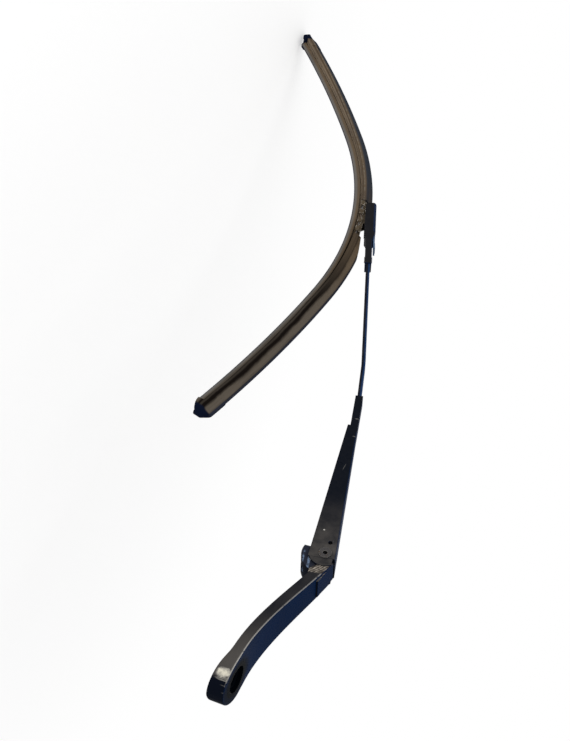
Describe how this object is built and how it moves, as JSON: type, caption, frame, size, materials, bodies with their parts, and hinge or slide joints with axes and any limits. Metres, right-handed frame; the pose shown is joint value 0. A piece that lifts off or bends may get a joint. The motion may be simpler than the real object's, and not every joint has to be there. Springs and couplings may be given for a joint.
{
  "type": "windscreen wiper arm",
  "caption": "Front windscreen wiper arm: cast mounting head, sprung folding pressed channel, flat bent rod and a curved flat blade with spoiler",
  "frame": {"origin": "middle of the straight wall of the spindle bore, on its axis", "axes": "+Z along the spindle away from the glass, +X from the spindle towards the tip of the blade, +Y across the arm, on the wind face of the spoiler"},
  "size_m": [0.7514, 0.0395, 0.2837],
  "materials": {
    "head_paint": "worn black paint on a die-casting, dusty",
    "bush_plastic": "moulded",
    "pin_steel": "dull",
    "channel_paint": "satin black paint, dusty towards the pivot",
    "rivet_paint": "black paint, worn at the flare",
    "rod_paint": "black paint",
    "end_plastic": "moulded, dusty",
    "adapter_plastic": "moulded, dusty",
    "tab_plastic": "moulded, smooth",
    "link_zinc": "zinc plated",
    "spring_steel": "dull wire",
    "bracket_steel": "dusty zinc",
    "rail_steel": "dull spring steel",
    "wiping_rubber": "aged, dusty",
    "spoiler_rubber": "weathered brown grey, dusty",
    "cap_plastic": "moulded"
  },
  "bodies": {
    "head": {"mounting_head": "head_paint", "pivot_bush_left": "bush_plastic", "pivot_bush_right": "bush_plastic", "hanger_pin": "pin_steel"},
    "arm": {"arm_channel": "channel_paint", "pivot_rivet": "rivet_paint", "anchor_pin": "pin_steel", "arm_rod": "rod_paint", "arm_end": "end_plastic", "end_rivet": "rivet_paint", "blade_adapter": "adapter_plastic", "tab_pin": "pin_steel"},
    "link": {"spring_link": "link_zinc", "tension_spring": "spring_steel"},
    "tab": {"release_tab": "tab_plastic"},
    "blade": {"connector_bracket": "bracket_steel", "blade_pin": "pin_steel", "rail_left": "rail_steel", "rail_right": "rail_steel", "wiping_rubber": "wiping_rubber", "spoiler_tip": "spoiler_rubber", "spoiler_heel": "spoiler_rubber", "tip_cap": "cap_plastic", "heel_cap": "cap_plastic"}
  },
  "joints": [
    {"name": "arm_pivot", "type": "hinge", "parent": "head", "child": "arm", "pos_m": [0.1045, 0, 0.0198], "axis": [0, -1, 0], "range_deg": [0, 70], "stiffness_Nm_per_rad": 0.4, "springref_deg": -28.65},
    {"name": "link_swing", "type": "hinge", "parent": "head", "child": "link", "pos_m": [0.09887, 0, 0.01343], "axis": [0, -1, 0], "range_deg": [0, 65], "deforming": ["tension_spring"]},
    {"name": "blade_pivot", "type": "hinge", "parent": "arm", "child": "blade", "pos_m": [0.47381, 0, -0.08664], "axis": [0, -1, 0], "range_deg": [-5, 8]},
    {"name": "release_tab_press", "type": "hinge", "parent": "arm", "child": "tab", "pos_m": [0.45927, 0, -0.0766], "axis": [0, -1, 0], "range_deg": [0, 3], "stiffness_Nm_per_rad": 0.05, "springref_deg": -11.46}
  ],
  "couplings": [
    {"joint": "link_swing", "follows": "arm_pivot", "ratio": 0.9205}
  ]
}
